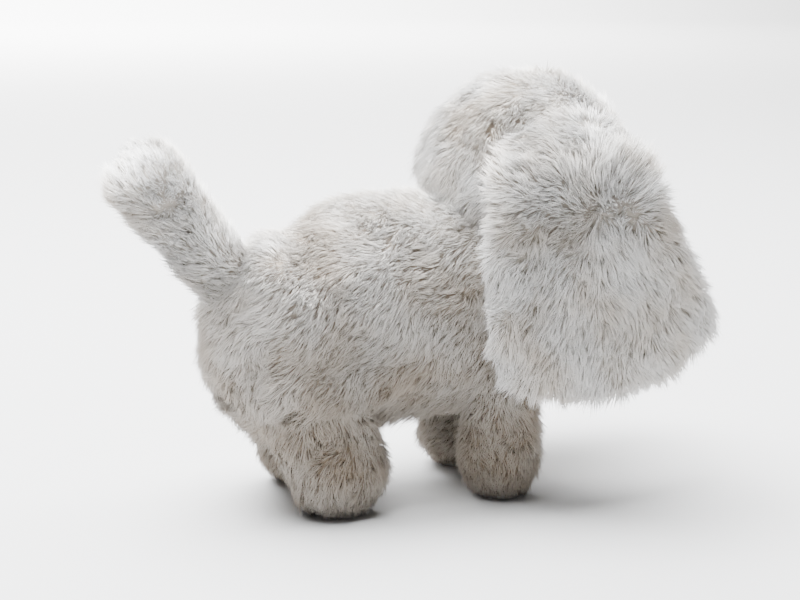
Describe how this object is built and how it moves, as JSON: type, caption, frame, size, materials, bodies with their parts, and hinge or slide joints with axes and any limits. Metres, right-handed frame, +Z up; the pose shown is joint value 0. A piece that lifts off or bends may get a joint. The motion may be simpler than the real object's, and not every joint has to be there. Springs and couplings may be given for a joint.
{
  "type": "walking plush puppy toy",
  "caption": "Battery plush puppy with swinging legs, nodding head, opening mouth, hanging ears and a wagging tail.",
  "frame": {"origin": "middle of the toy's outline on the floor, under the soles", "axes": "+X towards the nose, +Y to the toy's left, +Z up"},
  "size_m": [0.292, 0.1336, 0.213],
  "materials": {
    "frame_plastic": "moulded, fine grain",
    "white_plastic": "moulded, satin",
    "steel": "bright pin and screw steel",
    "battery_wrap": "printed film with no marks",
    "contact_metal": "nickel plated spring steel",
    "black_plastic": "fine moulded grain",
    "brass_gear": "cut brass",
    "gear_plastic": "natural acetal",
    "board": "green solder mask",
    "speaker_paper": "pressed paper cone",
    "plush": "long white pile on a knitted backing",
    "ear_plush": "long white pile, short pile inside",
    "sole_rubber": "moulded grip pad",
    "eye_gloss": "polished dome",
    "nose_plastic": "satin moulded",
    "tongue_felt": "pink felt"
  },
  "bodies": {
    "torso": {"chassis_left": "frame_plastic", "chassis_right": "frame_plastic", "chassis_screws": "steel", "battery_box": "white_plastic", "battery_cells": "battery_wrap", "battery_contacts": "contact_metal", "battery_door": "white_plastic", "door_screw": "steel", "switch_housing": "black_plastic", "motor": "steel", "gearbox_frame": "frame_plastic", "hip_pin_front": "steel", "hip_pin_rear": "steel", "circuit_board": "board", "speaker_frame": "black_plastic", "speaker_cone": "speaker_paper", "neck_bracket": "frame_plastic", "neck_pin": "steel", "tail_bracket": "frame_plastic", "body_plush_left": "plush", "body_plush_right": "plush", "belly_plush": "plush"},
    "switch": {"switch_slider": "black_plastic"},
    "touch": {"touch_button": "frame_plastic"},
    "rotor": {"motor_pinion": "brass_gear"},
    "idler": {"idler_gear": "gear_plastic"},
    "crank": {"crank_shaft": "steel", "final_gear": "gear_plastic", "crank_disc_left": "gear_plastic", "crank_disc_right": "gear_plastic"},
    "link_left": {"link_bar_left": "gear_plastic"},
    "link_right": {"link_bar_right": "gear_plastic"},
    "head": {"skull_left": "frame_plastic", "skull_right": "frame_plastic", "head_plush": "plush", "eye_left": "eye_gloss", "eye_right": "eye_gloss", "nose": "nose_plastic", "jaw_pin": "steel"},
    "jaw": {"jaw_core": "frame_plastic", "jaw_plush": "plush", "tongue": "tongue_felt"},
    "ear_left": {"ear_left": "ear_plush"},
    "ear_right": {"ear_right": "ear_plush"},
    "tail": {"tail_core": "frame_plastic", "tail_plush": "plush"},
    "leg_front_left": {"front_left_core": "gear_plastic", "front_left_plush": "plush", "front_left_sole": "sole_rubber"},
    "leg_front_right": {"front_right_core": "gear_plastic", "front_right_plush": "plush", "front_right_sole": "sole_rubber"},
    "leg_rear_left": {"rear_left_core": "gear_plastic", "rear_left_plush": "plush", "rear_left_sole": "sole_rubber"},
    "leg_rear_right": {"rear_right_core": "gear_plastic", "rear_right_plush": "plush", "rear_right_sole": "sole_rubber"}
  },
  "joints": [
    {"name": "hip_front_right", "type": "hinge", "parent": "torso", "child": "leg_front_right", "pos_m": [0.046, -0.028, 0.074], "axis": [0, 1, 0], "range_deg": [-10, 10]},
    {"name": "hip_front_left", "type": "hinge", "parent": "torso", "child": "leg_front_left", "pos_m": [0.046, 0.028, 0.074], "axis": [0, 1, 0], "range_deg": [-10, 10]},
    {"name": "hip_rear_left", "type": "hinge", "parent": "torso", "child": "leg_rear_left", "pos_m": [-0.054, 0.028, 0.074], "axis": [0, 1, 0], "range_deg": [-10, 10]},
    {"name": "hip_rear_right", "type": "hinge", "parent": "torso", "child": "leg_rear_right", "pos_m": [-0.054, -0.028, 0.074], "axis": [0, 1, 0], "range_deg": [-10, 10]},
    {"name": "link_pin_right", "type": "hinge", "parent": "leg_front_right", "child": "link_right", "pos_m": [0.046, -0.024, 0.09], "axis": [0, 1, 0], "range_deg": [-10, 10]},
    {"name": "link_pin_left", "type": "hinge", "parent": "leg_front_left", "child": "link_left", "pos_m": [0.046, 0.024, 0.09], "axis": [0, 1, 0], "range_deg": [-10, 10]},
    {"name": "crank_spin", "type": "hinge", "parent": "torso", "child": "crank", "pos_m": [-0.004, 0, 0.09], "axis": [0, 1, 0], "continuous": true},
    {"name": "idler_spin", "type": "hinge", "parent": "torso", "child": "idler", "pos_m": [-0.0233, 0.009, 0.09], "axis": [0, 1, 0], "continuous": true},
    {"name": "rotor_spin", "type": "hinge", "parent": "torso", "child": "rotor", "pos_m": [-0.0394, 0.012, 0.09], "axis": [0, 1, 0], "continuous": true},
    {"name": "head_nod", "type": "hinge", "parent": "torso", "child": "head", "pos_m": [0.05, 0, 0.135], "axis": [0, 1, 0], "range_deg": [-8, 8]},
    {"name": "mouth", "type": "hinge", "parent": "head", "child": "jaw", "pos_m": [0.086, 0, 0.121], "axis": [0, 1, 0], "range_deg": [0, 18]},
    {"name": "ear_left_flap", "type": "hinge", "parent": "head", "child": "ear_left", "pos_m": [0.07, 0.045, 0.193], "axis": [1, 0, 0], "range_deg": [0, 45]},
    {"name": "ear_right_flap", "type": "hinge", "parent": "head", "child": "ear_right", "pos_m": [0.07, -0.045, 0.193], "axis": [-1, 0, 0], "range_deg": [0, 45]},
    {"name": "tail_wag", "type": "hinge", "parent": "torso", "child": "tail", "pos_m": [-0.08, 0, 0.106], "axis": [0.788, 0, 0.6157], "range_deg": [-18, 18]},
    {"name": "power_switch", "type": "slide", "parent": "torso", "child": "switch", "axis": [1, 0, 0], "range_m": [0, 0.003]},
    {"name": "touch_press", "type": "slide", "parent": "torso", "child": "touch", "axis": [0, 0, -1], "range_m": [0, 0.0015], "stiffness_N_per_m": 800}
  ],
  "couplings": [
    {"joint": "hip_rear_right", "follows": "hip_front_right", "ratio": 1},
    {"joint": "hip_front_left", "follows": "hip_front_right", "ratio": -1},
    {"joint": "hip_rear_left", "follows": "hip_front_right", "ratio": -1},
    {"joint": "link_pin_right", "follows": "hip_front_right", "ratio": -1},
    {"joint": "link_pin_left", "follows": "hip_front_right", "ratio": 1},
    {"joint": "idler_spin", "follows": "crank_spin", "ratio": -3},
    {"joint": "rotor_spin", "follows": "crank_spin", "ratio": 9}
  ]
}
